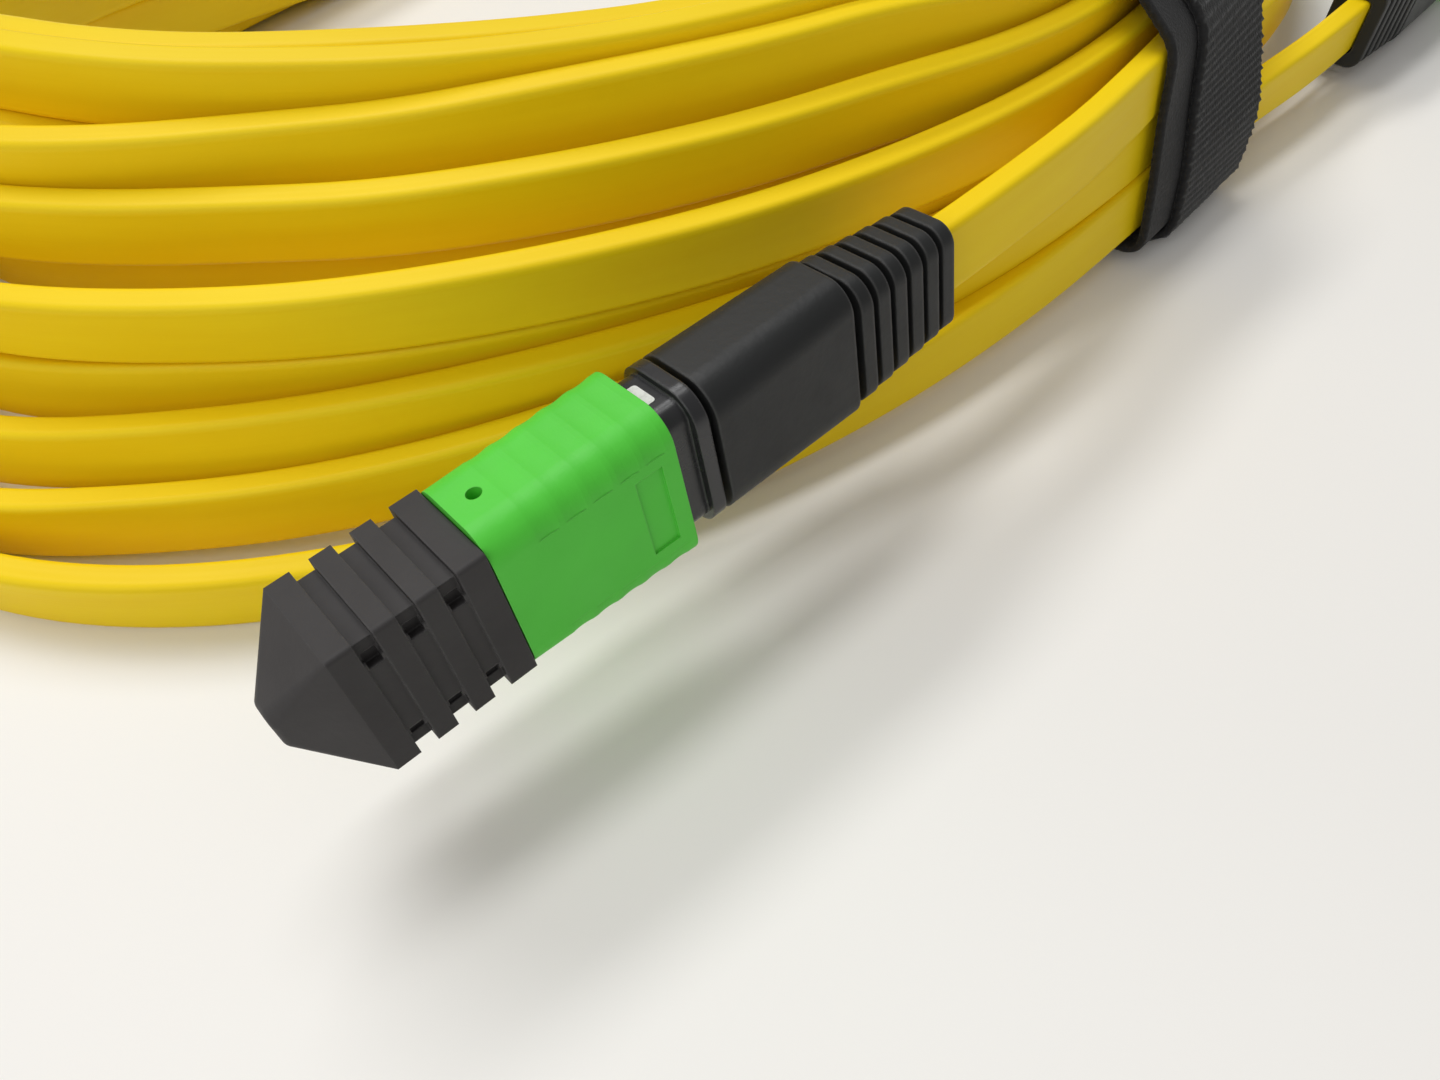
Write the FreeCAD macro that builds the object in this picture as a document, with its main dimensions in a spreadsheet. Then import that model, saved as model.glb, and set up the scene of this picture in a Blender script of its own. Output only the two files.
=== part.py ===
import FreeCAD, Part
import math
import os
import Sketcher

# A flat multi-fibre patch cord, wound in a leaning oval coil and held by a hook-and-loop tie.
# X runs along the coil's long axis, Y across it, Z up; the origin is under the middle of the whole cord.
# Each plug is drawn once in its own frame: X rearward from the cap's rim, Y through the plug's
# thickness, Z across its width. It is then placed at both ends.

Vector = FreeCAD.Vector
Rotation = FreeCAD.Rotation
Placement = FreeCAD.Placement

SIZES = [
    # flat cable
    ("cable_width", 6.8),
    ("cable_thick", 2.8),
    ("cable_corner", 0.6),
    # dust cap
    ("plug_width", 12.4),
    ("plug_thick", 9.3),
    ("cap_length", 11.8),
    ("cap_edge", 0.35),
    ("nose_length", 4.7),
    ("nose_tip_width", 3.4),
    ("nose_tip_thick", 2.8),
    ("nose_tip_corner", 1.2),
    ("nose_tip_round", 0.9),
    ("cap_play", 0.12),
    ("cap_cavity_depth", 8.4),
    ("groove_count", 3),
    ("groove_first", 2.95),
    ("groove_pitch", 3.12),
    ("groove_width", 1.45),
    ("groove_depth", 0.65),
    ("groove_wrap", 2.2),
    ("groove_wrap_depth", 0.7),
    ("groove_line_depth", 0.2),
    ("pit_size", 1.1),
    ("pit_depth", 0.95),
    # coupling sleeve
    ("sleeve_gap", 0.1),
    ("sleeve_length", 15.3),
    ("sleeve_front_width", 13.8),
    ("sleeve_front_thick", 9.4),
    ("sleeve_rear_width", 14.6),
    ("sleeve_rear_thick", 9.8),
    ("sleeve_corner", 2.6),
    ("sleeve_play", 0.1),
    ("wave_count", 5),
    ("wave_first", 4.4),
    ("wave_pitch", 2.3),
    ("wave_radius", 5.5),
    ("wave_depth", 0.08),
    ("recess_depth", 1.95),
    ("recess_play", 0.2),
    ("band_start", 11.6),
    ("band_length", 2.4),
    ("band_width", 7.4),
    ("band_depth", 0.25),
    ("peep_start", 2.3),
    ("peep_diameter", 1.2),
    # coupling springs, half in the sleeve and half in the housing
    ("pocket_start", 4.2),
    ("pocket_length", 6.4),
    ("pocket_width", 1.15),
    ("pocket_in_sleeve", 0.55),
    ("pocket_in_housing", 0.45),
    ("side_spring_diameter", 0.95),
    ("side_spring_wire", 0.2),
    ("side_spring_turns", 8),
    # inner housing
    ("housing_width", 9.4),
    ("housing_thick", 6.6),
    ("housing_corner", 0.7),
    ("housing_nose", 5.6),
    ("housing_end", 14.0),
    ("key_width", 2.4),
    ("key_height", 0.6),
    ("mouth_play", 0.1),
    ("bore_start", 0.5),
    ("bore_width", 7.6),
    ("bore_thick", 4.9),
    # ferrule group
    ("ferrule_width", 6.4),
    ("ferrule_thick", 2.5),
    ("ferrule_proud", 0.4),
    ("flange_width", 7.2),
    ("flange_thick", 4.0),
    ("flange_length", 2.2),
    ("guide_hole_diameter", 0.7),
    ("guide_hole_spacing", 4.6),
    ("spacer_length", 2.0),
    ("spacer_slot_play", 0.15),
    ("ribbon_boot_width", 3.5),
    ("ribbon_boot_thick", 1.4),
    ("ribbon_boot_reach", 1.3),
    ("ribbon_boot_play", 0.05),
    ("ribbon_width", 2.9),
    ("ribbon_thick", 0.3),
    ("ribbon_play", 0.06),
    ("ribbon_front", 3.2),
    ("ribbon_slack", 1.0),
    ("ferrule_spring_diameter", 4.5),
    ("ferrule_spring_wire", 0.5),
    ("ferrule_spring_turns", 6),
    # rear body and crimp ring
    ("rear_front", 11.5),
    ("rear_fit", 0.05),
    ("neck_end", 17.8),
    ("collar_start", 15.55),
    ("collar_width", 11.8),
    ("collar_thick", 7.0),
    ("collar_corner", 1.6),
    ("ridge_width", 13.0),
    ("ridge_thick", 8.6),
    ("ridge_corner", 2.6),
    ("ridge_length", 1.2),
    ("post_width", 7.0),
    ("post_thick", 4.6),
    ("post_corner", 1.2),
    ("post_end", 26.0),
    ("rear_hole_width", 4.0),
    ("rear_hole_thick", 1.6),
    ("crimp_start", 20.6),
    ("crimp_length", 5.8),
    ("crimp_wall", 0.55),
    ("crimp_fit", 0.05),
    # boot
    ("boot_start", 19.6),
    ("boot_body_length", 14.5),
    ("boot_front_width", 12.9),
    ("boot_front_thick", 9.1),
    ("boot_front_corner", 2.9),
    ("boot_rear_width", 13.4),
    ("boot_rear_thick", 8.0),
    ("boot_rear_corner", 2.5),
    ("boot_fit", 0.1),
    ("boot_cavity_length", 7.6),
    ("boot_core_width", 8.2),
    ("boot_core_thick", 4.4),
    ("boot_core_corner", 1.2),
    ("rib_count", 6),
    ("rib_gap", 0.9),
    ("rib_length", 1.25),
    ("rib_pitch", 2.05),
    ("rib_width", 12.0),
    ("rib_thick", 8.0),
    ("rib_corner", 2.3),
    ("rib_step", 0.32),
    ("cable_play", 0.12),
    ("cable_in_boot", 10.5),
    # coil: the outer oval stands on the table, the turns lean inward and fan out to the top
    ("coil_x", -8.4),
    ("coil_y", 1.947),
    ("coil_half_length", 110.0),
    ("coil_half_breadth", 66.0),
    ("fan_outer_length", 36.1),
    ("fan_outer_breadth", 13.8),
    ("fan_inner_length", 45.0),
    ("fan_inner_breadth", 17.1),
    ("foot_length", 12.6),
    ("foot_breadth", 4.8),
    ("coil_top_middle", 28.8),
    ("coil_top_slope", 0.12),
    ("coil_inner_drop", 13.5),
    # plug at end a: X from the middle of the coil, Y inward from the coil's near side
    ("plug_a_x", -74.64),
    ("plug_a_inward", 2.83),
    ("plug_a_z", 18.24),
    ("plug_a_yaw", -3.35),
    ("plug_a_pitch", -3.15),
    ("plug_a_roll", -9.8),
    # plug at end b
    ("plug_b_x", 110.27),
    ("plug_b_inward", 2.8),
    ("plug_b_z", 7.4),
    ("plug_b_yaw", 183.0),
    ("plug_b_pitch", 0.0),
    ("plug_b_roll", 0.0),
    # tails: one straight run out of each boot, one run to the tie, where they end in the tie's frame
    ("tail_a_run", 27.3),
    ("tail_a_inward", 3.8),
    ("tail_a_height", 17.6),
    ("tail_b_run", 18.5),
    ("tail_b_inward", -0.9),
    ("tail_b_height", 5.0),
    ("tail_gap", 0.7),
    # tie round the bundle, in its own frame: X along the bundle, Y inward from the outer oval, Z up
    ("tie_x", 23.5),
    ("tie_length", 24.0),
    ("tie_thick", 1.5),
    ("tie_fit", 0.3),
    ("tie_front_y", -1.5),
    ("tie_shoulder_z", 8.6),
    ("tie_mid_y", 1.8),
    ("tie_mid_z", 22.0),
    ("tie_top_y", 13.2),
    ("tie_top_z", 33.2),
    ("tie_back_top_y", 17.0),
    ("tie_back_y", 19.7),
    ("tie_back_z", 27.5),
    ("tie_foot_y", 8.5),
]

doc = FreeCAD.newDocument("fibre_patch_cord")
sheet = doc.addObject("Spreadsheet::Sheet", "Sizes")
for row, (alias, value) in enumerate(SIZES, start=1):
    sheet.set("A%d" % row, alias)
    sheet.set("B%d" % row, str(value))
    sheet.setAlias("B%d" % row, alias)
doc.recompute()


def cells(text):
    """Turn bare size names in an expression into references to the sheet."""
    words = []
    word = ""
    for sign in text + " ":
        if sign.isalnum() or sign in "_.":
            word += sign
        else:
            known = bool(word) and word[0].isalpha()
            words.append("Sizes." + word if known else word)
            words.append(sign)
            word = ""
    return "".join(words).strip()


def number(text):
    """The value of an expression of size names."""
    return float(sheet.evalExpression(cells(text)))


def bind(item, **properties):
    """Bind properties (Placement parts written as Placement__Base__x) to expressions."""
    for name, text in properties.items():
        item.setExpression(name.replace("__", "."), cells(text))


def plane(body, role):
    """One of a body's own origin planes."""
    return [item for item in body.Origin.OriginFeatures if item.Role == role][0]


def section(body, label, at, width, thick, corner):
    """A rounded rectangle across the plug's axis, fully constrained and bound to the sheet."""
    sketch = body.newObject("Sketcher::SketchObject", label)
    sketch.AttachmentSupport = [(plane(body, "YZ_Plane"), "")]
    sketch.MapMode = "FlatFace"
    bind(sketch, AttachmentOffset__Base__z=at)
    half_y = number(thick) / 2
    half_z = number(width) / 2
    round_off = number(corner)
    inner_y = half_y - round_off
    inner_z = half_z - round_off
    centres = [(inner_y, inner_z), (-inner_y, inner_z), (-inner_y, -inner_z), (inner_y, -inner_z)]
    arcs = []
    for turn, (y, z) in enumerate(centres):
        circle = Part.Circle(Vector(y, z, 0), Vector(0, 0, 1), round_off)
        first = turn * math.pi / 2
        arcs.append(sketch.addGeometry(Part.ArcOfCircle(circle, first, first + math.pi / 2), False))
    sides = []
    for turn in range(4):
        start = sketch.getPoint(arcs[turn], 2)
        end = sketch.getPoint(arcs[(turn + 1) % 4], 1)
        sides.append(sketch.addGeometry(Part.LineSegment(start, end), False))
    for turn in range(4):
        sketch.addConstraint(Sketcher.Constraint("Tangent", arcs[turn], 2, sides[turn], 1))
        sketch.addConstraint(Sketcher.Constraint("Tangent", sides[turn], 2, arcs[(turn + 1) % 4], 1))
        if turn > 0:
            sketch.addConstraint(Sketcher.Constraint("Equal", arcs[0], arcs[turn]))
    sketch.addConstraint(Sketcher.Constraint("Horizontal", sides[0]))
    sketch.addConstraint(Sketcher.Constraint("Vertical", sides[1]))
    sketch.addConstraint(Sketcher.Constraint("Symmetric", arcs[0], 3, arcs[2], 3, -1, 1))
    named = (("Radius", "corner", corner), ("DistanceX", "thick", thick), ("DistanceY", "width", width))
    for kind, name, text in named:
        if kind == "Radius":
            index = sketch.addConstraint(Sketcher.Constraint("Radius", arcs[0], round_off))
        elif kind == "DistanceX":
            ends = (sides[1], 1, arcs[0], 1)
            index = sketch.addConstraint(Sketcher.Constraint("DistanceX", *ends, 2 * half_y))
        else:
            ends = (sides[2], 1, arcs[0], 2)
            index = sketch.addConstraint(Sketcher.Constraint("DistanceY", *ends, 2 * half_z))
        sketch.renameConstraint(index, name)
        sketch.setExpression("Constraints." + name, cells(text))
    return sketch


def bar(label, start, length, width, thick, corner):
    """A rounded bar along the plug's axis."""
    body = doc.addObject("PartDesign::Body", label)
    sketch = section(body, label + "_section", start, width, thick, corner)
    pad = body.newObject("PartDesign::Pad", label + "_pad")
    pad.Profile = sketch
    bind(pad, Length=length)
    doc.recompute()
    return body


def taper(label, first, last):
    """A body lofted between two rounded sections, each given as (at, width, thick, corner)."""
    body = doc.addObject("PartDesign::Body", label)
    front = section(body, label + "_front", *first)
    rear = section(body, label + "_rear", *last)
    loft = body.newObject("PartDesign::AdditiveLoft", label + "_loft")
    loft.Profile = front
    loft.Sections = [rear]
    loft.Ruled = True
    doc.recompute()
    return body


def box(label, x, y, z, length, depth, height):
    """A plain block from its low corner."""
    item = doc.addObject("Part::Box", label)
    bind(item, Length=length, Width=depth, Height=height)
    bind(item, Placement__Base__x=x, Placement__Base__y=y, Placement__Base__z=z)
    return item


def rod(label, x, y, z, radius, length, direction):
    """A round rod from its foot along a direction."""
    item = doc.addObject("Part::Cylinder", label)
    item.Placement = Placement(Vector(), Rotation(Vector(0, 0, 1), direction))
    bind(item, Radius=radius, Height=length)
    bind(item, Placement__Base__x=x, Placement__Base__y=y, Placement__Base__z=z)
    return item


def bend(label, x, y, z, reach, radius, quarter):
    """A quarter of a ring round the plug's axis direction, to carry a round groove past a corner."""
    item = doc.addObject("Part::Torus", label)
    first = Rotation(Vector(1, 1, 1), 120)
    item.Placement = Placement(Vector(), Rotation(Vector(1, 0, 0), 90 * quarter).multiply(first))
    bind(item, Radius1=reach, Radius2=radius)
    item.Angle3 = 90
    bind(item, Placement__Base__x=x, Placement__Base__y=y, Placement__Base__z=z)
    return item


def join(label, items):
    """Several shapes as one."""
    item = doc.addObject("Part::MultiFuse", label)
    item.Shapes = items
    return item


def cut(label, base, tools):
    """A base with tools taken away."""
    tool = tools[0] if len(tools) == 1 else join(label + "_tools", tools)
    item = doc.addObject("Part::Cut", label)
    item.Base = base
    item.Tool = tool
    return item


def spring(label, start, length, radius, wire, turns, z):
    """A coil spring along the plug's axis: start, length and coil radius to the wire's middle."""
    helix = doc.addObject("Part::Helix", label + "_line")
    bind(helix, Height="%s - %s" % (length, wire), Radius=radius)
    bind(helix, Pitch="(%s - %s) / %s" % (length, wire, turns))
    helix.Placement = Placement(Vector(), Rotation(Vector(0, 1, 0), 90))
    bind(helix, Placement__Base__x="%s + %s / 2" % (start, wire), Placement__Base__z=z)
    ring = doc.addObject("Part::Circle", label + "_wire")
    bind(ring, Radius="%s / 2" % wire)
    ring.Placement = Placement(Vector(), Rotation(Vector(1, 0, 0), -90))
    bind(ring, Placement__Base__x="%s + %s / 2" % (start, wire))
    bind(ring, Placement__Base__z="%s - %s" % (z, radius))
    doc.recompute()
    sweep = doc.addObject("Part::Sweep", label)
    sweep.Sections = [ring]
    sweep.Spine = (helix, ["Edge%d" % (i + 1) for i in range(len(helix.Shape.Edges))])
    sweep.Solid = True
    sweep.Frenet = True
    doc.recompute()
    return sweep


# dust cap: box body, hipped nose with a rounded end, ring grooves that wrap the four long edges
cap_body = doc.addObject("PartDesign::Body", "cap_body")
cap_rim = section(cap_body, "cap_rim", "-cap_length", "plug_width", "plug_thick", "cap_edge")
cap_pad = cap_body.newObject("PartDesign::Pad", "cap_pad")
cap_pad.Profile = cap_rim
bind(cap_pad, Length="cap_length")
nose_root = section(cap_body, "nose_root", "-cap_length", "plug_width", "plug_thick", "cap_edge")
nose_tip = section(
    cap_body, "nose_tip", "-cap_length - nose_length", "nose_tip_width", "nose_tip_thick", "nose_tip_corner"
)
nose = cap_body.newObject("PartDesign::AdditiveLoft", "nose")
nose.Profile = nose_root
nose.Sections = [nose_tip]
nose.Ruled = True
doc.recompute()
tip_x = -number("cap_length + nose_length")
tip_edges = []
for place, edge in enumerate(nose.Shape.Edges, start=1):
    if all(abs(corner.X - tip_x) < 1e-4 for corner in edge.Vertexes):
        tip_edges.append("Edge%d" % place)
nose_round = cap_body.newObject("PartDesign::Fillet", "nose_round")
nose_round.Base = (nose, tip_edges)
bind(nose_round, Radius="nose_tip_round")
doc.recompute()

cap_tools = [
    bar(
        "cap_cavity", "-cap_cavity_depth", "cap_cavity_depth + 1",
        "housing_width + 2 * cap_play", "housing_thick + 2 * cap_play", "housing_corner"
    ),
    box(
        "cap_keyway", "-cap_cavity_depth", "0", "-key_width / 2 - cap_play",
        "cap_cavity_depth + 1", "housing_thick / 2 + key_height + cap_play", "key_width + 2 * cap_play"
    ),
]
for index in range(int(number("groove_count"))):
    at = "-groove_first - %d * groove_pitch" % index
    low = at + " - groove_width / 2"
    for side, name in ((1, "up"), (-1, "down")):
        floor_z = "plug_width / 2 - groove_depth" if side > 0 else "-plug_width / 2 - 1"
        tag = "%s_%d" % (name, index)
        cap_tools.append(box(
            "groove_" + tag, low, "-plug_thick", floor_z, "groove_width", "2 * plug_thick", "groove_depth + 1"
        ))
        wrap_z = "plug_width / 2 - groove_wrap" if side > 0 else "-plug_width / 2 - 1"
        if side > 0:
            pit_z = "plug_width / 2 - groove_wrap - pit_size / 2"
        else:
            pit_z = "-plug_width / 2 + groove_wrap - pit_size / 2"
        for face, word in ((1, "far"), (-1, "near")):
            wrap_y = "plug_thick / 2 - groove_wrap_depth" if face > 0 else "-plug_thick / 2 - 1"
            pit_y = "plug_thick / 2 - pit_depth" if face > 0 else "-plug_thick / 2 - 1"
            cap_tools.append(box(
                "wrap_%s_%s" % (word, tag), low, wrap_y, wrap_z,
                "groove_width", "groove_wrap_depth + 1", "groove_wrap + 1"
            ))
            cap_tools.append(box(
                "pit_%s_%s" % (word, tag), at + " - pit_size / 2", pit_y, pit_z,
                "pit_size", "pit_depth + 1", "pit_size"
            ))
    for face, word in ((1, "far"), (-1, "near")):
        line_y = "plug_thick / 2 - groove_line_depth" if face > 0 else "-plug_thick / 2 - 1"
        cap_tools.append(box(
            "line_%s_%d" % (word, index), low, line_y, "-plug_width / 2",
            "groove_width", "groove_line_depth + 1", "plug_width"
        ))
cap_form = cut("cap_form", cap_body, cap_tools)

# coupling sleeve: rounded outside, keyed passage, recess for the collar, grip waves, bare bands, peep holes
# and spring pockets
sleeve_body = taper(
    "sleeve_body",
    ("sleeve_gap", "sleeve_front_width", "sleeve_front_thick", "sleeve_corner"),
    ("sleeve_gap + sleeve_length", "sleeve_rear_width", "sleeve_rear_thick", "sleeve_corner")
)
sleeve_tools = [
    bar(
        "sleeve_passage", "sleeve_gap - 1", "sleeve_length + 2",
        "housing_width + 2 * sleeve_play", "housing_thick + 2 * sleeve_play", "housing_corner"
    ),
    bar(
        "sleeve_recess", "sleeve_gap + sleeve_length - recess_depth", "recess_depth + 1",
        "collar_width + 2 * recess_play", "collar_thick + 2 * recess_play", "collar_corner"
    ),
    box(
        "sleeve_keyway", "sleeve_gap - 1", "0", "-key_width / 2 - sleeve_play",
        "sleeve_length + 2", "housing_thick / 2 + key_height + sleeve_play", "key_width + 2 * sleeve_play"
    ),
    rod(
        "peep", "peep_start", "0", "-sleeve_rear_width", "peep_diameter / 2", "2 * sleeve_rear_width", Vector(0, 0, 1)
    ),
]
wave_reach = "sleeve_corner + wave_radius - wave_depth"
for side, name in ((1, "up"), (-1, "down")):
    for index in range(int(number("wave_count"))):
        at = "wave_first + %d * wave_pitch" % index
        share = "(%s) / sleeve_length" % at
        half_w = "sleeve_front_width / 2 + %s * (sleeve_rear_width - sleeve_front_width) / 2" % share
        half_t = "sleeve_front_thick / 2 + %s * (sleeve_rear_thick - sleeve_front_thick) / 2" % share
        corner_y = "(%s - sleeve_corner)" % half_t
        corner_z = "%d * (%s - sleeve_corner)" % (side, half_w)
        sleeve_tools.append(rod(
            "wave_%s_%d" % (name, index), at, "-1 * " + corner_y, "%s + %d * (%s)" % (corner_z, side, wave_reach),
            "wave_radius", "2 * " + corner_y, Vector(0, 1, 0)
        ))
        for face, word in ((1, "far"), (-1, "near")):
            quarter = (0 if face > 0 else 1) if side > 0 else (2 if face < 0 else 3)
            sleeve_tools.append(bend(
                "wave_%s_%s_%d" % (name, word, index), at, "%d * %s" % (face, corner_y), corner_z,
                wave_reach, "wave_radius", quarter
            ))
    pocket_z = "housing_width / 2 - 0.5" if side > 0 else "-housing_width / 2 - sleeve_play - pocket_in_sleeve"
    sleeve_tools.append(box(
        "sleeve_pocket_" + name, "pocket_start", "-pocket_width / 2", pocket_z,
        "pocket_length", "pocket_width", "sleeve_play + pocket_in_sleeve + 0.5"
    ))
for face, word in ((1, "far"), (-1, "near")):
    band_y = "sleeve_rear_thick / 2 - band_depth" if face > 0 else "-sleeve_rear_thick / 2 - 1"
    sleeve_tools.append(box(
        "band_" + word, "band_start", band_y, "-band_width / 2", "band_length", "band_depth + 1", "band_width"
    ))
sleeve_form = cut("sleeve_form", sleeve_body, sleeve_tools)

# coupling springs, one on each narrow side
side_radius = "(side_spring_diameter - side_spring_wire) / 2"
spring_z = "(housing_width / 2 - pocket_in_housing + housing_width / 2 + sleeve_play + pocket_in_sleeve) / 2"
spring_up = spring(
    "spring_up", "pocket_start", "pocket_length", side_radius, "side_spring_wire", "side_spring_turns", spring_z
)
spring_down = spring(
    "spring_down", "pocket_start", "pocket_length", side_radius, "side_spring_wire", "side_spring_turns",
    "-1 * " + spring_z
)
side_springs_form = doc.addObject("Part::Compound", "side_springs_form")
side_springs_form.Links = [spring_up, spring_down]

# inner housing: keyed tube with a ferrule mouth in front and a wider bore behind its shoulder
housing_body = bar(
    "housing_body", "-housing_nose", "housing_nose + housing_end", "housing_width", "housing_thick",
    "housing_corner"
)
housing_key = box(
    "housing_key", "-housing_nose + 1", "0", "-key_width / 2",
    "housing_nose + housing_end - 1", "housing_thick / 2 + key_height", "key_width"
)
housing_tools = [
    bar(
        "housing_mouth", "-housing_nose - 1", "housing_nose + 2",
        "ferrule_width + 2 * mouth_play", "ferrule_thick + 2 * mouth_play", "0.2"
    ),
    bar("housing_bore", "bore_start", "housing_end", "bore_width", "bore_thick", "0.5"),
]
for side, name in ((1, "up"), (-1, "down")):
    pocket_z = "housing_width / 2 - pocket_in_housing" if side > 0 else "-housing_width / 2 - 1"
    housing_tools.append(box(
        "housing_pocket_" + name, "pocket_start", "-pocket_width / 2", pocket_z,
        "pocket_length", "pocket_width", "pocket_in_housing + 1"
    ))
housing_form = cut("housing_form", join("housing_solid", [housing_body, housing_key]), housing_tools)

# ferrule: block with a rear flange, two guide holes, a rear pocket and a slot for the ribbon
ferrule_block = bar(
    "ferrule_block", "-housing_nose - ferrule_proud",
    "housing_nose + ferrule_proud + bore_start + flange_length", "ferrule_width", "ferrule_thick", "0.1"
)
ferrule_flange = bar(
    "ferrule_flange", "bore_start", "flange_length", "flange_width", "flange_thick", "0.3"
)
ferrule_tools = [
    box(
        "ferrule_pocket", "bore_start - ribbon_boot_reach",
        "-ribbon_boot_thick / 2 - ribbon_boot_play", "-ribbon_boot_width / 2 - ribbon_boot_play",
        "ribbon_boot_reach + flange_length + 1",
        "ribbon_boot_thick + 2 * ribbon_boot_play", "ribbon_boot_width + 2 * ribbon_boot_play"
    ),
    box(
        "ferrule_slot", "-ribbon_front - ribbon_slack",
        "-ribbon_thick / 2 - ribbon_play", "-ribbon_width / 2 - ribbon_play",
        "ribbon_front + ribbon_slack + bore_start",
        "ribbon_thick + 2 * ribbon_play", "ribbon_width + 2 * ribbon_play"
    ),
]
for side, name in ((1, "up"), (-1, "down")):
    ferrule_tools.append(rod(
        "guide_hole_" + name, "-housing_nose - ferrule_proud - 1", "0", "%d * guide_hole_spacing / 2" % side,
        "guide_hole_diameter / 2", "housing_nose + ferrule_proud + bore_start + flange_length + 2",
        Vector(1, 0, 0)
    ))
ferrule_form = cut("ferrule_form", join("ferrule_solid", [ferrule_block, ferrule_flange]), ferrule_tools)

# spacer and rubber sleeve behind the ferrule
spacer_block = bar(
    "spacer_block", "bore_start + flange_length", "spacer_length", "flange_width", "flange_thick", "0.3"
)
spacer_slot = box(
    "spacer_slot", "bore_start + flange_length - 1",
    "-ribbon_boot_thick / 2 - spacer_slot_play", "-ribbon_boot_width / 2 - spacer_slot_play",
    "spacer_length + 2",
    "ribbon_boot_thick + 2 * spacer_slot_play", "ribbon_boot_width + 2 * spacer_slot_play"
)
spacer_form = cut("spacer_form", spacer_block, [spacer_slot])
ribbon_boot_block = box(
    "ribbon_boot_block", "bore_start - ribbon_boot_reach", "-ribbon_boot_thick / 2", "-ribbon_boot_width / 2",
    "ribbon_boot_reach + flange_length + spacer_length", "ribbon_boot_thick", "ribbon_boot_width"
)
ribbon_boot_slot = box(
    "ribbon_boot_slot", "bore_start - ribbon_boot_reach - 1",
    "-ribbon_thick / 2 - ribbon_play", "-ribbon_width / 2 - ribbon_play",
    "ribbon_boot_reach + flange_length + spacer_length + 2",
    "ribbon_thick + 2 * ribbon_play", "ribbon_width + 2 * ribbon_play"
)
ribbon_boot_form = cut("ribbon_boot_form", ribbon_boot_block, [ribbon_boot_slot])

# ferrule spring, from the spacer to the rear body
ferrule_spring_form = spring(
    "ferrule_spring_form", "bore_start + flange_length + spacer_length",
    "(rear_front - bore_start - flange_length - spacer_length)",
    "(ferrule_spring_diameter - ferrule_spring_wire) / 2", "ferrule_spring_wire", "ferrule_spring_turns", "0"
)

# rear body: spigot in the housing, neck with a collar, ridge and crimp post, with a hole for the ribbon
rear_solid = join("rear_solid", [
    bar(
        "rear_spigot", "rear_front", "housing_end - rear_front + 0.5",
        "bore_width - 2 * rear_fit", "bore_thick - 2 * rear_fit", "0.5"
    ),
    bar("rear_neck", "housing_end", "neck_end - housing_end", "housing_width", "housing_thick", "housing_corner"),
    bar("rear_collar", "collar_start", "neck_end - collar_start", "collar_width", "collar_thick", "collar_corner"),
    bar("rear_ridge", "neck_end", "ridge_length", "ridge_width", "ridge_thick", "ridge_corner"),
    bar(
        "rear_post", "neck_end + ridge_length - 0.5", "post_end - neck_end - ridge_length + 0.5",
        "post_width", "post_thick", "post_corner"
    ),
])
rear_hole = bar(
    "rear_hole", "rear_front - 1", "post_end - rear_front + 2", "rear_hole_width", "rear_hole_thick", "0.4"
)
rear_form = cut("rear_form", rear_solid, [rear_hole])

# crimp ring on the post
crimp_outer = bar(
    "crimp_outer", "crimp_start", "crimp_length", "post_width + 2 * crimp_fit + 2 * crimp_wall",
    "post_thick + 2 * crimp_fit + 2 * crimp_wall", "post_corner + crimp_fit + crimp_wall"
)
crimp_inner = bar(
    "crimp_inner", "crimp_start - 1", "crimp_length + 2", "post_width + 2 * crimp_fit",
    "post_thick + 2 * crimp_fit", "post_corner + crimp_fit"
)
crimp_form = cut("crimp_form", crimp_outer, [crimp_inner])

# boot: smooth front, ribbed tail on a core, stepped passage for the crimp ring and the cable
boot_solids = [
    taper(
        "boot_front_part",
        ("boot_start", "boot_front_width", "boot_front_thick", "boot_front_corner"),
        ("boot_start + boot_body_length", "boot_rear_width", "boot_rear_thick", "boot_rear_corner")
    ),
    bar(
        "boot_core", "boot_start + boot_body_length - 0.5",
        "rib_gap + (rib_count - 1) * rib_pitch + rib_length + 0.5",
        "boot_core_width", "boot_core_thick", "boot_core_corner"
    ),
]
for index in range(int(number("rib_count"))):
    boot_solids.append(bar(
        "rib_%d" % index, "boot_start + boot_body_length + rib_gap + %d * rib_pitch" % index, "rib_length",
        "rib_width - %d * rib_step" % index, "rib_thick - %d * rib_step" % index,
        "rib_corner - %d * rib_step / 3" % index
    ))
boot_tools = [
    bar(
        "boot_cavity", "boot_start - 1", "boot_cavity_length + 1",
        "post_width + 2 * crimp_fit + 2 * crimp_wall + 2 * boot_fit",
        "post_thick + 2 * crimp_fit + 2 * crimp_wall + 2 * boot_fit",
        "post_corner + crimp_fit + crimp_wall + boot_fit"
    ),
    bar(
        "boot_passage", "boot_start", "boot_body_length + rib_gap + rib_count * rib_pitch + 1",
        "cable_width + 2 * cable_play", "cable_thick + 2 * cable_play", "cable_corner + cable_play"
    ),
]
boot_form = cut("boot_form", join("boot_solid", boot_solids), boot_tools)

# bare ribbon from the cable's end in the boot to the ferrule
boot_end = "boot_start + boot_body_length + rib_gap + (rib_count - 1) * rib_pitch + rib_length"
cable_start = boot_end + " - cable_in_boot"
ribbon_form = box(
    "ribbon_form", "-ribbon_front", "-ribbon_thick / 2", "-ribbon_width / 2",
    cable_start + " + ribbon_front", "ribbon_thick", "ribbon_width"
)

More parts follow.
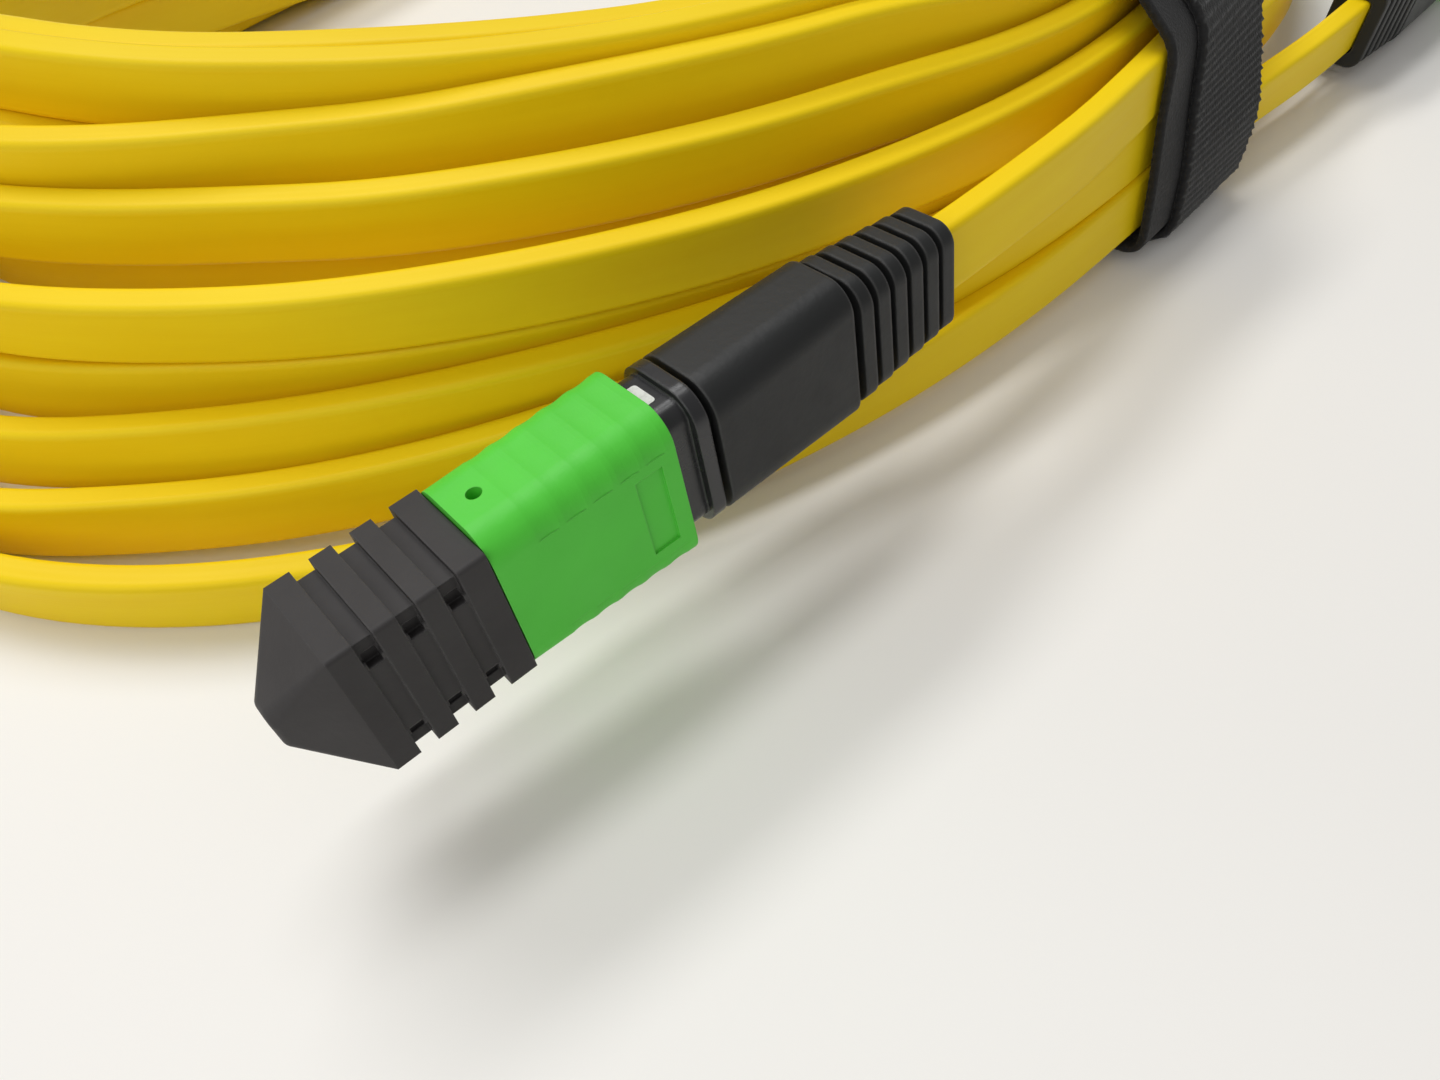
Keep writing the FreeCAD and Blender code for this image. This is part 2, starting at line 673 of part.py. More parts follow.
FORMS = {
    "dust_cap": cap_form,
    "coupling_sleeve": sleeve_form,
    "coupling_springs": side_springs_form,
    "inner_housing": housing_form,
    "ferrule": ferrule_form,
    "ferrule_spacer": spacer_form,
    "ribbon_boot": ribbon_boot_form,
    "ferrule_spring": ferrule_spring_form,
    "rear_body": rear_form,
    "crimp_ring": crimp_form,
    "boot": boot_form,
    "fibre_ribbon": ribbon_form,
}
nodes = []
for end in ("a", "b"):
    across = "coil_y - coil_half_breadth + plug_%s_inward" % end
    spot = cells("coil_x + plug_%s_x; %s; plug_%s_z" % (end, across, end))
    turn = cells("plug_%s_yaw; plug_%s_pitch; plug_%s_roll" % (end, end, end))
    where = "create(<<placement>>; create(<<vector>>; %s); create(<<rotation>>; %s))" % (spot, turn)
    for name, form in FORMS.items():
        node = doc.addObject("Part::Compound", "%s_%s" % (name, end))
        node.Label = "%s_%s" % (name, end)
        node.Links = [form]
        node.setExpression("Placement", where)
        nodes.append(node)
doc.recompute()

# tie: a band round a slanted outline, offset outward by its thickness, square to the outer oval
middle = Vector(number("coil_x"), number("coil_y"), 0)
along = number("tie_x / coil_half_length")
tie_y = -number("coil_half_breadth") * math.sqrt(1 - along ** 2)
tie_slope = number("coil_half_breadth / coil_half_length") * along / math.sqrt(1 - along ** 2)
tie_place = Placement(
    middle + Vector(number("tie_x"), tie_y, 0), Rotation(Vector(0, 0, 1), math.degrees(math.atan(tie_slope)))
)
TIE_OUTLINE = [
    ("tie_front_y", "tie_thick + 0.05"),
    ("tie_front_y", "tie_shoulder_z"),
    ("tie_mid_y", "tie_mid_z"),
    ("tie_top_y", "tie_top_z"),
    ("tie_back_top_y", "tie_top_z"),
    ("tie_back_y", "tie_back_z"),
    ("tie_foot_y", "tie_thick + 0.05"),
]
tie_sketch = doc.addObject("Sketcher::SketchObject", "tie_outline")
tie_sketch.Placement = tie_place.multiply(Placement(Vector(), Rotation(Vector(1, 1, 1), 120)))
corners = [Vector(number(y), number(z), 0) for y, z in TIE_OUTLINE]
for place, corner in enumerate(corners):
    tie_sketch.addGeometry(Part.LineSegment(corner, corners[(place + 1) % len(corners)]), False)
for place, (y, z) in enumerate(TIE_OUTLINE):
    before = (place - 1) % len(corners)
    tie_sketch.addConstraint(Sketcher.Constraint("Coincident", before, 2, place, 1))
    for kind, text in (("DistanceX", y), ("DistanceY", z)):
        index = tie_sketch.addConstraint(Sketcher.Constraint(kind, -1, 1, place, 1, number(text)))
        name = "corner_%d_%s" % (place, kind[-1].lower())
        tie_sketch.renameConstraint(index, name)
        tie_sketch.setExpression("Constraints." + name, cells(text))
tie_ring = doc.addObject("Part::Offset2D", "tie_ring")
tie_ring.Source = tie_sketch
tie_ring.Join = 0
tie_ring.Fill = True
bind(tie_ring, Value="tie_thick")
tie = doc.addObject("Part::Extrusion", "tie")
tie.Base = tie_ring
tie.DirMode = "Custom"
tie.Dir = tie_place.Rotation.multVec(Vector(1, 0, 0))
tie.Solid = True
tie.Symmetric = True
bind(tie, LengthFwd="tie_length")
doc.recompute()
nodes.append(tie)

# coil: closed ring of ruled faces between ovals, pinched where the tie holds it;
# its top slopes down from the near left, where the turns fan out, to the far right
fall = FreeCAD.Matrix()
fall.A31 = -number("coil_top_slope") * math.sqrt(0.5)
fall.A32 = fall.A31


def oval(length, breadth, height, sloping):
    """An oval round the coil's middle, level or on the sloping top."""
    edge = Part.Ellipse(Vector(0, 0, number(height)), number(length), number(breadth)).toShape()
    if sloping:
        edge = edge.transformGeometry(fall).Edges[0]
    edge.translate(middle)
    return edge


outer = ("coil_half_length", "coil_half_breadth")
crest = ("coil_half_length - fan_outer_length", "coil_half_breadth - fan_outer_breadth")
hollow = ("coil_half_length - fan_inner_length", "coil_half_breadth - fan_inner_breadth")
foot = ("coil_half_length - foot_length", "coil_half_breadth - foot_breadth")
rings = [
    oval(*outer, "0", False),
    oval(*outer, "cable_width", False),
    oval(*crest, "coil_top_middle", True),
    oval(*hollow, "coil_top_middle", True),
    oval(*hollow, "coil_top_middle - coil_inner_drop", True),
    oval(*foot, "0", False),
]
faces = []
for place, edge in enumerate(rings):
    other = rings[(place + 1) % len(rings)]
    if place in (2, 5):
        level = Part.makeFace([Part.Wire([edge]), Part.Wire([other])], "Part::FaceMakerBullseye")
        faces.append(level.Faces[0])
    else:
        faces.append(Part.makeRuledSurface(edge, other))
shell = Part.Shell(faces)
ring = doc.addObject("Part::Feature", "ring")
ring.Shape = Part.Solid(shell)

tie_core_face = doc.addObject("Part::Offset2D", "tie_core_face")
tie_core_face.Source = tie_sketch
tie_core_face.Join = 2
bind(tie_core_face, Value="-tie_fit")
tie_core = doc.addObject("Part::Extrusion", "tie_core")
tie_core.Base = tie_core_face
tie_core.DirMode = "Custom"
tie_core.Dir = tie.Dir
tie_core.Solid = True
tie_core.Symmetric = True
bind(tie_core, LengthFwd="tie_length + 2")
tie_block = doc.addObject("Part::Box", "tie_block")
bind(tie_block, Length="tie_length + 2 * tie_fit", Width="2 * tie_back_y", Height="2 * tie_top_z")
tie_block.Placement = tie_place.multiply(Placement(
    Vector(-number("tie_length / 2 + tie_fit"), -number("tie_back_y / 2"), -number("tie_top_z / 2")), Rotation()
))
tie_space = cut("tie_space", tie_block, [tie_core])
coil = cut("cord_coil", ring, [tie_space])
doc.recompute()
nodes.append(coil)


def cable_profile(spot, across, up):
    """The flat cable's outline at a point: `across` through its thickness, `up` along its width."""
    half_t = number("cable_thick / 2")
    half_w = number("cable_width / 2")
    rounding = number("cable_corner")
    slack = rounding * (1 - math.sqrt(0.5))

    def at(t, w):
        return spot + across * t + up * w

    edges = []
    for t, w in ((1, 1), (-1, 1), (-1, -1), (1, -1)):
        first = at(t * half_t, w * (half_w - rounding))
        mid = at(t * (half_t - slack), w * (half_w - slack))
        last = at(t * (half_t - rounding), w * half_w)
        if t * w < 0:
            first, last = last, first
        edges.append(Part.Arc(first, mid, last).toShape())
    ring_edges = []
    for place, edge in enumerate(edges):
        ring_edges.append(edge)
        after = edges[(place + 1) % 4]
        ring_edges.append(Part.LineSegment(edge.Vertexes[-1].Point, after.Vertexes[0].Point).toShape())
    return Part.Wire(ring_edges)


def tail(label, end, side):
    """A flat tail: a straight run out of the boot, an arc, and a run to one side of the tie."""
    plug = doc.getObject("boot_" + end).Placement
    ahead = plug.Rotation.multVec(Vector(1, 0, 0))
    across = plug.Rotation.multVec(Vector(0, 1, 0))
    up = plug.Rotation.multVec(Vector(0, 0, 1))
    start = plug.multVec(Vector(number(cable_start), 0, 0))
    bend = start + ahead * number("tail_%s_run" % end)
    finish = tie_place.multVec(Vector(
        side * number("tie_length / 2 + tail_gap"), number("tail_%s_inward" % end), number("tail_%s_height" % end)
    ))
    first = bend - start
    second = finish - bend
    turn = first.getAngle(second)
    reach = 0.45 * min(first.Length, second.Length)
    radius = reach / math.tan(turn / 2)
    leave = bend - first.normalize() * reach
    land = bend + second.normalize() * reach
    inward = (second - first).normalize()
    crown = bend + inward * (radius / math.cos(turn / 2) - radius)
    spine = Part.Wire([
        Part.LineSegment(start, leave).toShape(),
        Part.Arc(leave, crown, land).toShape(),
        Part.LineSegment(land, finish).toShape(),
    ])
    pipe = Part.BRepOffsetAPI.MakePipeShell(spine)
    pipe.setBiNormalMode(up)
    pipe.add(cable_profile(start, across, up))
    pipe.build()
    pipe.makeSolid()
    item = doc.addObject("Part::Feature", label)
    item.Shape = pipe.shape()
    area = Part.Face(cable_profile(start, across, up)).Area
    print(label, "radius %.1f" % radius, "length %.1f" % spine.Length,
          "volume %.1f of %.1f" % (item.Shape.Volume, area * spine.Length))
    print(label, "points", [tuple(round(part, 2) for part in spot) for spot in (start, bend, finish)])
    return item


nodes.append(tail("cord_tail_a", "a", -1))
nodes.append(tail("cord_tail_b", "b", 1))
doc.recompute()

for item in doc.Objects:
    bad = [word for word in item.State if word in ("Invalid", "Error")]
    if bad:
        raise RuntimeError("%s is %s" % (item.Label, bad))
os.makedirs("parts", exist_ok=True)
for node in nodes:
    shape = node.Shape
    if shape.isNull() or not shape.isValid() or not shape.Solids:
        raise RuntimeError("%s has no valid solid" % node.Label)
    print("%-20s solids %d volume %9.2f" % (node.Label, len(shape.Solids), shape.Volume))
    shape.exportStep("parts/%s.step" % node.Label)
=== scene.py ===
import math

import bpy
import numpy as np
from mathutils import Euler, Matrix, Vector


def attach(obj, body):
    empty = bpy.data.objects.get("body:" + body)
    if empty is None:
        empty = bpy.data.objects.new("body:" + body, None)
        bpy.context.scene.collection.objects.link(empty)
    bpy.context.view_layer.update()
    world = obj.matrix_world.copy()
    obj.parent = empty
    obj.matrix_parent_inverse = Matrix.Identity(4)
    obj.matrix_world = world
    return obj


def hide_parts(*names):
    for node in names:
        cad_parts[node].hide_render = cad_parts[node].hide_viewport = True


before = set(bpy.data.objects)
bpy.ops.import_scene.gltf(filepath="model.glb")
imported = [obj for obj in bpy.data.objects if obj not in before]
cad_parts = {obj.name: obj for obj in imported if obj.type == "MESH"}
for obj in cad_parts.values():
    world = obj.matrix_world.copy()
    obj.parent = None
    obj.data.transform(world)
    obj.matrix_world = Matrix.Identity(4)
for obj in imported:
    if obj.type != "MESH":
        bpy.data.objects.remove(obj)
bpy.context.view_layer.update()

MM = 0.001
scene = bpy.context.scene
scene.view_settings.view_transform = "Standard"


def link(obj):
    scene.collection.objects.link(obj)
    return obj


# Node materials

NOISE_ROUGHNESS = 0.55
EDGE_SAMPLES = 4
BEVEL_SAMPLES = 6
EDGE_WEAR = 0.5


def linear(red, green, blue):
    """A colour written in 0 to 255 as the shader's linear colour."""
    parts = []
    for value in (red, green, blue):
        c = value / 255
        parts.append(c / 12.92 if c <= 0.04045 else ((c + 0.055) / 1.055) ** 2.4)
    return (*parts, 1.0)


class Shader:
    """A material with a Principled shader and short calls for its nodes."""

    def __init__(self, name, **sockets):
        self.material = bpy.data.materials.new(name)
        self.material.use_nodes = True
        self.nodes = self.material.node_tree.nodes
        self.links = self.material.node_tree.links
        self.principled = self.nodes["Principled BSDF"]
        for socket, value in sockets.items():
            self.principled.inputs[socket.replace("_", " ")].default_value = value

    def node(self, kind, **values):
        made = self.nodes.new(kind)
        for key, value in values.items():
            if hasattr(made, key):
                setattr(made, key, value)
            else:
                self.set(made, key, value)
        return made

    def set(self, node, socket, value):
        place = node.inputs[socket if isinstance(socket, int) else socket.replace("_", " ")]
        if isinstance(value, bpy.types.NodeSocket):
            self.links.new(value, place)
        else:
            place.default_value = value

    def place(self):
        return self.node("ShaderNodeTexCoord").outputs["Object"]

    def stretch(self, vector, scale):
        mapping = self.node("ShaderNodeMapping", Vector=vector)
        mapping.inputs["Scale"].default_value = scale
        return mapping.outputs["Vector"]

    def noise(self, vector, scale, detail=3.0):
        made = self.node(
            "ShaderNodeTexNoise", Vector=vector, Scale=scale, Detail=detail, Roughness=NOISE_ROUGHNESS
        )
        return made.outputs["Fac"]

    def ramp(self, fac, *stops):
        made = self.node("ShaderNodeValToRGB", Fac=fac)
        elements = made.color_ramp.elements
        while len(elements) < len(stops):
            elements.new(0.5)
        for element, (position, colour) in zip(elements, stops):
            element.position = position
            element.color = colour if isinstance(colour, tuple) else (colour, colour, colour, 1.0)
        return made.outputs["Color"]

    def math(self, operation, a, b=0.0):
        made = self.node("ShaderNodeMath", operation=operation)
        self.set(made, 0, a)
        self.set(made, 1, b)
        return made.outputs[0]

    def mix(self, factor, a, b):
        made = self.node("ShaderNodeMix", data_type="RGBA")
        for index, value in ((0, factor), (6, a), (7, b)):
            self.set(made, index, value)
        return made.outputs[2]

    def attribute(self, name):
        return self.node("ShaderNodeAttribute", attribute_name=name).outputs["Fac"]

    def edges(self, radius):
        """1 on an edge and 0 on a flat, from the difference between the rounded and the true normal."""
        rounded = self.node("ShaderNodeBevel", samples=EDGE_SAMPLES, Radius=radius)
        true = self.node("ShaderNodeNewGeometry")
        dot = self.node("ShaderNodeVectorMath", operation="DOT_PRODUCT")
        self.links.new(rounded.outputs[0], dot.inputs[0])
        self.links.new(true.outputs["Normal"], dot.inputs[1])
        return self.math("SUBTRACT", 1.0, dot.outputs["Value"])

    def bump(self, height, strength, distance, edge_radius=0.0):
        made = self.node("ShaderNodeBump", Strength=strength, Distance=distance, Height=height)
        if edge_radius:
            bevel = self.node("ShaderNodeBevel", samples=BEVEL_SAMPLES, Radius=edge_radius)
            self.links.new(bevel.outputs[0], made.inputs["Normal"])
        self.links.new(made.outputs[0], self.principled.inputs["Normal"])

    def use(self, socket, value):
        self.set(self.principled, socket, value)


def moulded(name, colour, worn, rough, grain, edge, depth=0.00006, **sockets):
    """Moulded or drawn surface: faint colour change, mottle, fine grain, rounded and paler edges."""
    made = Shader(name, **sockets)
    where = made.place()
    cloud = made.noise(where, 90.0)
    low = tuple(0.93 * c for c in colour[:3]) + (1.0,)
    high = tuple(min(1.0, 1.07 * c) for c in colour[:3]) + (1.0,)
    body = made.ramp(cloud, (0.3, low), (0.7, high))
    scuff = made.math("MULTIPLY", made.edges(edge), made.noise(where, 700.0))
    rub = made.math("MINIMUM", made.math("MULTIPLY", scuff, 4.0 * EDGE_WEAR), EDGE_WEAR)
    made.use("Base Color", made.mix(rub, body, worn))
    mottle = made.noise(where, 260.0)
    made.use("Roughness", made.ramp(mottle, (0.25, rough - 0.05), (0.75, rough + 0.07)))
    made.bump(made.noise(where, grain, 2.0), 0.35, depth, edge)
    return made.material


def jacket():
    """Extruded cable jacket: faint lines along the cable, slow waviness, a soft satin gloss."""
    made = Shader("jacket_yellow", Specular_IOR_Level=0.2)
    along, across = made.attribute("along"), made.attribute("across")
    joined = made.node("ShaderNodeCombineXYZ", X=along, Y=across)
    lines = made.noise(made.stretch(joined.outputs[0], (40.0, 2200.0, 1.0)), 1.0, 3.0)
    wave = made.noise(made.stretch(joined.outputs[0], (40.0, 120.0, 1.0)), 1.0, 2.0)
    pebble = made.noise(made.place(), 2600.0, 2.0)
    tone = made.ramp(wave, (0.3, linear(246, 210, 9)), (0.72, linear(250, 218, 17)))
    made.use("Base Color", made.mix(made.math("MULTIPLY", lines, 0.1), tone, linear(222, 178, 4)))
    made.use("Roughness", made.ramp(lines, (0.3, 0.46), (0.7, 0.54)))
    fine = made.math("ADD", made.math("MULTIPLY", lines, 0.3), made.math("MULTIPLY", pebble, 0.12))
    made.bump(made.math("ADD", wave, fine), 0.22, 0.00015)
    return made.material


# The cord: one flat cable wound in turns that fan out at the left end and stack at the tie

CABLE_WIDTH = 6.8
CABLE_THICK = 2.8
CABLE_CORNER = 0.62
COIL_X = -8.4
COIL_Y = 1.947
TURN_LENGTH = 108.6
TURN_BREADTH = 64.6
FAN_LENGTH = 42.0
FAN_BREADTH = 16.0
TIE_ANGLE = 277
TIE_HOLD = 7
STEP = 10
SPLINE_RESOLUTION = 6

# Each turn in the order that the cable takes them: where it is at each gate of the oval, as the share of
# the fan that it lies inward, its height in mm and its lean outward in degrees.
GATES = (315, 360, 450, 510, 545, 572, 594, 616, TIE_ANGLE + 360)
FIRST_AT_TIE = (0.08, 20.2, -12)
TURNS = (
    ((0.20, 14.5, 3), (0.17, 10.35, 3), (0.15, 10.35, 3), (0.26, 12.0, 3),
     (0.42, 17.55, 4), (0.527, 19.8, 6), (0.502, 21.0, 2), (0.41, 21.0, 3), (0.31, 20.4, -3)),
    ((0.35, 15.5, 3), (0.31, 10.35, 3), (0.33, 10.35, 3), (0.39, 14.5, 3),
     (0.585, 22.75, 6), (0.786, 23.9, 8), (0.761, 25.4, 5), (0.68, 25.6, 6), (0.51, 23.6, 6)),
    ((0.50, 18.0, 3), (0.48, 10.35, 3), (0.51, 10.35, 3), (0.48, 18.5, 3),
     (0.65, 26.8, 7), (0.938, 28.0, 6), (0.971, 30.0, 5), (0.90, 30.2, 2), (0.68, 27.0, 3)),
    ((0.67, 22.5, 3), (0.66, 10.35, 3), (0.69, 10.35, 3), (0.63, 22.0, 3),
     (0.83, 31.7, 5), (1.035, 31.4, 4), (1.09, 31.5, 3), (1.05, 31.8, 3), (0.84, 29.0, 3)),
    ((0.81, 24.0, 3), (0.81, 10.35, 3), (0.87, 10.35, 3), (0.72, 22.0, 3),
     (0.90, 31.3, 4), (1.13, 31.4, 3), (1.22, 31.0, 3), (1.22, 31.2, 3), (1.00, 28.5, 6)),
    ((0.96, 19.5, 3), (0.95, 3.45, 3), (0.92, 3.45, 3), (0.62, 15.1, 3),
     (0.80, 24.6, 4), (1.03, 24.2, 4), (1.10, 24.0, 3), (0.97, 20.5, 3), (0.76, 17.0, 0)),
    ((0.62, 11.0, 3), (0.55, 3.45, 3), (0.72, 3.45, 3), (0.50, 7.6, 3),
     (0.68, 15.2, 5), (0.875, 16.6, 5), (0.845, 18.5, 4), (0.77, 18.6, 3), (0.565, 16.4, 0)),
    ((0.46, 7.6, 3), (0.38, 3.45, 3), (0.54, 3.45, 3), (0.34, 5.1, 3),
     (0.41, 9.9, -5), (0.54, 12.8, -1), (0.54, 14.0, 4), (0.48, 13.9, 3), (0.40, 13.2, -3)),
    ((0.31, 3.5, 3), (0.25, 3.45, 3), (0.36, 3.45, 3), (0.215, 3.6, 3),
     (0.26, 6.4, -4), (0.39, 10.1, -4), (0.41, 12.4, 8), (0.33, 12.6, 10), (0.22, 11.0, 0)),
    ((0.15, 6.0, 3), (0.12, 3.45, 3), (0.18, 3.45, 3), (0.09, 3.45, 3),
     (0.11, 3.45, 0), (0.25, 5.4, -4), (0.27, 8.0, -2), (0.13, 11.0, -3), (-0.005, 13.6, -11)),
    ((-0.25, 6.0, 3), (-0.02, 3.45, 3), (0.00, 3.45, 3), (0.00, 3.45, 3),
     (0.04, 3.45, 4), (0.00, 3.45, 4), (-0.02, 3.6, 4), (-0.065, 5.0, -4), (-0.09, 7.0, -11)),
)
# The two tails, from plug to tie and from tie to plug, and the lean of the cable there
TAIL_A = ((-47.16, -63.32, 20.22), (-19.94, -64.92, 21.72), (2.5, -61.4, 19.6))
TAIL_B = ((28.5, -62.9, 7.2), (47.44, -64.11, 7.4), (65.92, -63.14, 7.4))
TAIL_A_LEAN = (-9.8, -9.8, -9.8)
TAIL_B_LEAN = (3.0, 0.0, 0.0)


def gate_rows():
    rows = [(TIE_ANGLE, *FIRST_AT_TIE), (TIE_ANGLE + TIE_HOLD, *FIRST_AT_TIE)]
    for count, turn in enumerate(TURNS):
        for angle, values in zip(GATES, turn):
            rows.append((angle + 360 * count, *values))
        rows.append((GATES[-1] + TIE_HOLD + 360 * count, *turn[-1]))
    return np.array(rows, float)


def between_gates(rows, angle):
    """Share, height and lean at an angle, eased from gate to gate without going past either."""
    at, values = rows[:, 0], rows[:, 1:]
    slope = np.diff(values, axis=0) / np.diff(at)[:, None]
    both = slope[:-1] * slope[1:]
    total = np.where(both > 0, slope[:-1] + slope[1:], 1.0)
    tangent = np.zeros_like(values)
    tangent[1:-1] = np.where(both > 0, 2 * both / total, 0.0)
    i = int(np.clip(np.searchsorted(at, angle, side="right") - 1, 0, len(at) - 2))
    h = at[i + 1] - at[i]
    s = (angle - at[i]) / h
    ease = 3 * s ** 2 - 2 * s ** 3
    bend = (s ** 3 - 2 * s ** 2 + s) * tangent[i] + (s ** 3 - s ** 2) * tangent[i + 1]
    return (1 - ease) * values[i] + ease * values[i + 1] + h * bend


def turn_point(angle, share, height):
    r = math.radians(angle)
    return (COIL_X + (TURN_LENGTH - FAN_LENGTH * share) * math.cos(r),
            COIL_Y + (TURN_BREADTH - FAN_BREADTH * share) * math.sin(r), height)


def cord_route():
    """Control points in mm and the lean at each, from plug a through the turns to plug b."""
    rows = gate_rows()
    points, leans = list(TAIL_A), list(TAIL_A_LEAN)
    for angle in range(TIE_ANGLE + STEP, int(rows[-1, 0]), STEP):
        share, height, lean = between_gates(rows, angle)
        points.append(turn_point(angle, share, height))
        leans.append(lean)
    return points + list(TAIL_B), leans + list(TAIL_B_LEAN)


def spline_line(points, resolution):
    """Points in metres along a NURBS spline whose control points are in mm."""
    curve = bpy.data.curves.new("route", "CURVE")
    curve.dimensions = "3D"
    curve.resolution_u = resolution
    spline = curve.splines.new("NURBS")
    spline.points.add(len(points) - 1)
    for knot, point in zip(spline.points, points):
        knot.co = (*(MM * c for c in point), 1.0)
    spline.order_u = 3
    spline.use_endpoint_u = True
    holder = link(bpy.data.objects.new("route", curve))
    bpy.context.view_layer.update()
    mesh = bpy.data.meshes.new_from_object(holder)
    line = np.array([v.co for v in mesh.vertices], float)
    bpy.data.objects.remove(holder)
    bpy.data.curves.remove(curve)
    bpy.data.meshes.remove(mesh)
    return line


def flat_section(width, thick, corner, steps=3, hem=0.16):
    """Rounded rectangle as (outward, up) pairs, with one more pair inside each end of every flat."""
    pairs = []
    for index, (x, y) in enumerate(((1, 1), (-1, 1), (-1, -1), (1, -1))):
        cx, cy = x * (thick / 2 - corner), y * (width / 2 - corner)
        first, last = math.radians(90 * index), math.radians(90 * index + 90)
        angles = np.linspace(first, last, steps + 1)
        arc = [(cx + corner * math.cos(a), cy + corner * math.sin(a)) for a in angles]
        before = (arc[0][0] + hem * math.sin(first), arc[0][1] - hem * math.cos(first))
        after = (arc[-1][0] - hem * math.sin(last), arc[-1][1] + hem * math.cos(last))
        pairs += [before, *arc, after]
    return np.array(pairs)


def line_frames(line, lean):
    tangent = np.gradient(line, axis=0)
    tangent /= np.linalg.norm(tangent, axis=1)[:, None]
    out = np.cross(tangent, (0.0, 0.0, 1.0))
    out /= np.linalg.norm(out, axis=1)[:, None]
    up = np.cross(out, tangent)
    turn = np.radians(lean)[:, None]
    return np.cos(turn) * out - np.sin(turn) * up, np.cos(turn) * up + np.sin(turn) * out


def mesh_object(name, points, faces, material, smooth=True):
    mesh = bpy.data.meshes.new(name)
    mesh.from_pydata([tuple(p) for p in points], [], faces)
    mesh.validate()
    mesh.polygons.foreach_set("use_smooth", [smooth] * len(mesh.polygons))
    mesh.materials.append(material)
    return link(bpy.data.objects.new(name, mesh))


def tube_faces(rings, around):
    faces = []
    for i in range(rings - 1):
        for j in range(around):
            k = (j + 1) % around
            faces.append((i * around + j, i * around + k, (i + 1) * around + k, (i + 1) * around + j))
    faces.append(tuple(range(around - 1, -1, -1)))
    last = (rings - 1) * around
    faces.append(tuple(range(last, last + around)))
    return faces


def add_attribute(obj, name, values):
    made = obj.data.attributes.new(name, "FLOAT", "POINT")
    made.data.foreach_set("value", np.asarray(values, np.float32))


def make_cord():
    points, leans = cord_route()
    line = spline_line(points, SPLINE_RESOLUTION)
    spans = len(points) - 2
    places = np.r_[0.0, np.arange(1, len(points) - 1) - 0.5, spans]
    lean = np.interp(np.linspace(0.0, spans, len(line)), places, leans)
    out, up = line_frames(line, lean)
    section = MM * flat_section(CABLE_WIDTH, CABLE_THICK, CABLE_CORNER)
    outward = section[None, :, 0, None] * out[:, None, :]
    upward = section[None, :, 1, None] * up[:, None, :]
    skin = line[:, None, :] + outward + upward
    obj = mesh_object("cord", skin.reshape(-1, 3), tube_faces(len(line), len(section)), jacket())
    run = np.r_[0.0, np.cumsum(np.linalg.norm(np.diff(line, axis=0), axis=1))]
    round_it = np.r_[0.0, np.cumsum(np.linalg.norm(np.diff(section, axis=0), axis=1))]
    add_attribute(obj, "along", np.repeat(run, len(section)))
    add_attribute(obj, "across", np.tile(round_it, len(line)))
    return obj, line, float(run[-1])


cord, cord_line, cord_length = make_cord()
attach(cord, "cord")
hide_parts("cord_coil", "cord_tail_a", "cord_tail_b")

# The tie: one woven strap, wound a little over one and a half turns, each turn further along the bundle

TIE_PLACE = (15.1, -62.533)
TIE_YAW = 7.47
TIE_HALF = 12.0
STRAP_WIDTH = 16.0
STRAP_THICK = 0.95
STRAP_SHIFT = 5.2
STRAP_START = -4.6
STRAP_CELL = 0.3
STRAP_ACROSS = 64
STRAP_TURNS = 1.62
STRAP_SEED = 11
LAYER_GAP = 0.12
RISE_BEFORE = 24
RISE_STEPS = 20
HOOKS_BEFORE = 10
EDGE_THICK = 0.82
EDGE_ROUND = 0.1
FRAY = 0.16
FRAY_LEFT = -0.3
HOOK_HEIGHT = 0.3
SMOOTH_SIDE = 0.04
HOOK_ROWS = (1.0, 0.3, 0.0)
UNDER_STRIDE = 8
LENGTH_STRIDE = 6
# Inside outline of the strap at the left and right end of the tie, as (inward, up) in mm: it starts low
# on the inner side, passes under the bundle, up its outer side and over the top.
HUG_BLUR = 4
HUG_FRONT = 4
HUG_LEFT = ((16.6, 13.2), (1.8, 2.35), (-2.5, 2.5), (-1.3, 9.5), (0.4, 17.0), (1.6, 24.1),
            (13.7, 33.0), (17.5, 33.3), (20.1, 32.5), (20.9, 25.4))
HUG_RIGHT = ((17.7, 10.6), (0.0, 2.4), (-4.1, 2.55), (-3.7, 10.4), (-0.8, 17.0), (2.4, 23.8),
             (14.3, 31.5), (18.8, 31.7), (22.2, 28.9), (23.1, 21.2))


def hug_loop(corners, counts, blur):
    """Evenly spread points round a closed outline, its corners softened by a running mean."""
    points = []
    for index, count in enumerate(counts):
        a, b = np.array(corners[index]), np.array(corners[(index + 1) % len(corners)])
        points += [a + (b - a) * step / count for step in range(count)]
    points = np.array(points)
    reach = np.arange(-3 * blur, 3 * blur + 1)
    weight = np.exp(-0.5 * (reach / blur) ** 2)
    return sum(w * np.roll(points, -r, axis=0) for w, r in zip(weight / weight.sum(), reach))


def strap_material():
    made = Shader("tie_black", Specular_IOR_Level=0.35, Sheen_Weight=0.1, Sheen_Roughness=0.5)
    where = made.place()
    hook_glint = made.attribute("hook_glint")
    fuzz = made.noise(where, 2600.0, 4.0)
    dark = made.ramp(fuzz, (0.3, linear(12, 12, 13)), (0.75, linear(25, 25, 26)))
    # The hook tips are painted pale grey in proportion to their height. This is a painted sheen on the
    # hooks, not their own colour.
    made.use("Base Color", made.mix(hook_glint, dark, linear(104, 105, 105)))
    made.use("Roughness", made.ramp(fuzz, (0.3, 0.6), (0.7, 0.85)))
    made.bump(made.noise(where, 3800.0, 3.0), 0.5, 0.0002)
    return made.material


